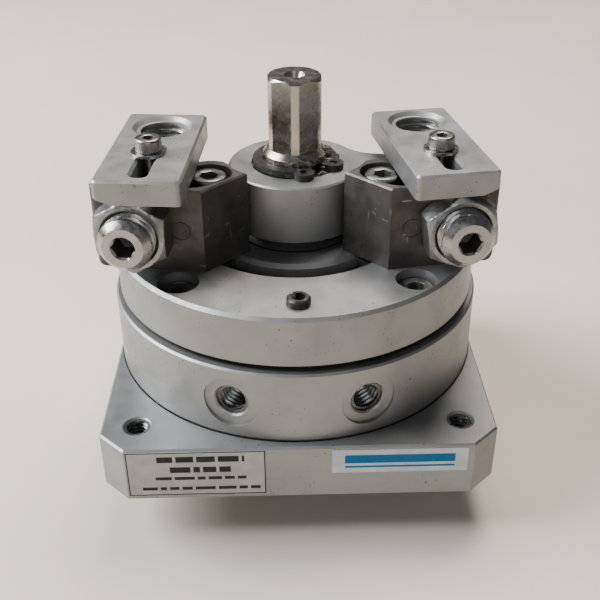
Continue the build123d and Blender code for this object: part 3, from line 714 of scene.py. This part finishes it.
# start and end, top edge and thickness of each row of dashes, as shares of the label
DATA_ROWS = ((0.22, 0.85, 0.9, 0.13), (0.31, 0.75, 0.66, 0.13),
             (0.2, 0.86, 0.43, 0.07), (0.1, 0.96, 0.19, 0.07))


def print_data_label():
    """A thin frame and four rows of dashes, which stand for lines of small print."""
    first, last = low("data_label"), high("data_label")
    front = first.y - INK * MM
    marks = outline_slabs(first.x, last.x, first.z, last.z, FRAME_LINE, front)
    chance = random.Random(5)
    width, height = last.x - first.x, last.z - first.z
    for start, end, top, thickness in DATA_ROWS:
        x, row_end = first.x + start * width, first.x + end * width
        while x < row_end:
            dash = chance.uniform(0.9, 3.2) * MM
            high_edge = first.z + top * height
            marks.append(slab(x, min(x + dash, row_end), high_edge - thickness * height, high_edge, front))
            x += dash + DASH_GAP
    add_piece("data_label_print", marks, ["black_ink"], "housing")


def print_maker_label():
    """One broad bar over a thin rule on a pale ground, in place of a mark."""
    first, last = low("maker_label"), high("maker_label")
    front = first.y - INK * MM
    height, inset = last.z - first.z, BAR_INSET
    marks = [slab(first.x + inset, last.x - inset, first.z + 0.42 * height, first.z + 0.78 * height, front),
             slab(first.x + inset, last.x - inset, first.z + 0.22 * height, first.z + 0.3 * height, front)]
    add_piece("maker_label_print", marks, ["blue_ink"], "housing")


# ---- dirt and painted shade ---------------------------------------------------------------
def lump(place, size, chance):
    """Small irregular blob."""
    shape = bmesh.new()
    bmesh.ops.create_icosphere(shape, subdivisions=2, radius=size)
    stretch = Vector((chance.uniform(0.7, 1.5), chance.uniform(0.6, 1.1), chance.uniform(0.35, 0.7)))
    turn = Matrix.Rotation(chance.uniform(0, math.tau), 3, "Z")
    for vertex in shape.verts:
        scaled = Vector(a * b for a, b in zip(vertex.co, stretch))
        vertex.co = turn @ (scaled * chance.uniform(0.82, 1.18)) + place
    shape.verts.index_update()
    vertices = [vertex.co.copy() for vertex in shape.verts]
    faces = [[vertex.index for vertex in face.verts] for face in shape.faces]
    shape.free()
    return vertices, faces, [0] * len(faces)


# start and end angle in degrees, how many lumps, inner and outer radius and largest lump in mm
GRIME_AND_SHADE_PATCHES = ((-50, 25, 46, 5.4, 6.9, 0.62), (-75, -50, 9, 5.6, 6.8, 0.3), (25, 80, 10, 5.5, 6.7, 0.4),
                 (150, 215, 6, 5.6, 6.9, 0.22))
# single lumps of grease climbing the shaft: angle, radius, size and height over the hub's top, in mm
RAISED_LUMPS = ((-14, 5.5, 0.7, 0.9), (-3, 5.3, 0.6, 1.5), (8, 5.2, 0.5, 2.0), (-25, 6.2, 0.7, 0.5),
                (-9, 6.4, 0.8, 0.4), (-38, 5.6, 0.45, 0.6))


def make_grime_and_shade():
    """Grease and grit in the recess round the shaft, most of it on the right, which also stand for painted shade
    in the recess.
    """
    chance = random.Random(11)
    recess = high("stop_lever").z
    lumps = []
    for start, end, count, inner, outer, largest in GRIME_AND_SHADE_PATCHES:
        for _ in range(count):
            angle = math.radians(chance.uniform(start, end))
            reach = chance.uniform(inner, outer) * MM
            size = chance.uniform(0.1, largest) * MM
            place = Vector((reach * math.cos(angle), reach * math.sin(angle), recess + 0.4 * size))
            lumps.append(lump(place, size, chance))
    for degrees, reach, size, rise in RAISED_LUMPS:
        angle = math.radians(degrees)
        place = Vector((reach * MM * math.cos(angle), reach * MM * math.sin(angle), recess + rise * MM))
        lumps.append(lump(place, size * MM, chance))
    add_piece("shaft_recess_grime_and_shade", lumps, ["grime"], "rotor")


# ---- camera, lights and floor -------------------------------------------------------------
CAMERA_PLACE = Vector((-1.83, -133.47, 105.85)) * MM
CAMERA_PAN = math.radians(2.31)
CAMERA_TILT = math.radians(31.35)
CAMERA_ROLL = math.radians(0.315)
CAMERA_LENS = 54.43
CAMERA_SHIFT = (-0.028, -0.0053)
FLOOR_SIZE = 3.0


def make_camera():
    """From the front, about 31 degrees downwards."""
    forward = Vector((math.sin(CAMERA_PAN) * math.cos(CAMERA_TILT),
                      math.cos(CAMERA_PAN) * math.cos(CAMERA_TILT), -math.sin(CAMERA_TILT)))
    right = Vector((math.cos(CAMERA_PAN), -math.sin(CAMERA_PAN), 0))
    up = right.cross(forward)
    axes = Matrix((right, up, -forward)).transposed()
    data = bpy.data.cameras.new("camera")
    data.lens = CAMERA_LENS
    data.sensor_width = 36.0
    data.shift_x, data.shift_y = CAMERA_SHIFT
    data.clip_start = 0.005
    camera = bpy.data.objects.new("camera", data)
    bpy.context.scene.collection.objects.link(camera)
    roll = Matrix.Rotation(CAMERA_ROLL, 3, -forward)
    camera.matrix_world = Matrix.Translation(CAMERA_PLACE) @ (roll @ axes).to_4x4()
    bpy.context.scene.camera = camera


def area_light(name, place, target, size, power, colour=(1, 1, 1)):
    data = bpy.data.lights.new(name, "AREA")
    data.shape = "RECTANGLE"
    data.size, data.size_y = size
    data.energy = power
    data.color = colour
    light = bpy.data.objects.new(name, data)
    light.location = place
    light.rotation_euler = (Vector(target) - Vector(place)).to_track_quat("-Z", "Y").to_euler()
    bpy.context.scene.collection.objects.link(light)


def make_lights():
    """A large soft light from the left, a smaller one overhead and a weak one from the front."""
    world = bpy.data.worlds.new("world")
    world.use_nodes = True
    world.node_tree.nodes["Background"].inputs["Color"].default_value = (0.92, 0.93, 1.0, 1)
    world.node_tree.nodes["Background"].inputs["Strength"].default_value = 0.12
    bpy.context.scene.world = world
    area_light("window", (-0.5, 0.04, 0.42), (0, 0, 0.03), (0.4, 0.4), 12.0, (0.94, 0.97, 1.0))
    area_light("ceiling", (0.08, 0.24, 0.6), (0, 0, 0.03), (0.3, 0.25), 5.4, (1.0, 0.94, 0.86))
    area_light("front", (0.0, -0.75, 0.35), (0, 0, 0.03), (0.5, 0.3), 1.6, (0.95, 0.97, 1.0))


def make_floor():
    """A wide plain table."""
    bpy.ops.mesh.primitive_plane_add(size=FLOOR_SIZE, location=(0, 0, 0))
    floor = bpy.context.object
    floor.name = "floor"
    surface = Surface("floor", (0.57, 0.52, 0.44), 0.55, 0.0)
    cloud = surface.ramp(surface.noise(60 * MM, 2.0), 0.3, 0.7)
    surface.colour(surface.mix(cloud, (0.55, 0.5, 0.42), (0.59, 0.54, 0.46)))
    floor.data.materials.append(surface.material)


make_camera()
make_lights()
make_floor()
dress_cad_nodes()
line_tapped_holes()
make_housing_screws()
make_stop_cap_screws()
make_stop_screws()
make_lock_nuts()
print_data_label()
print_maker_label()
make_grime_and_shade()
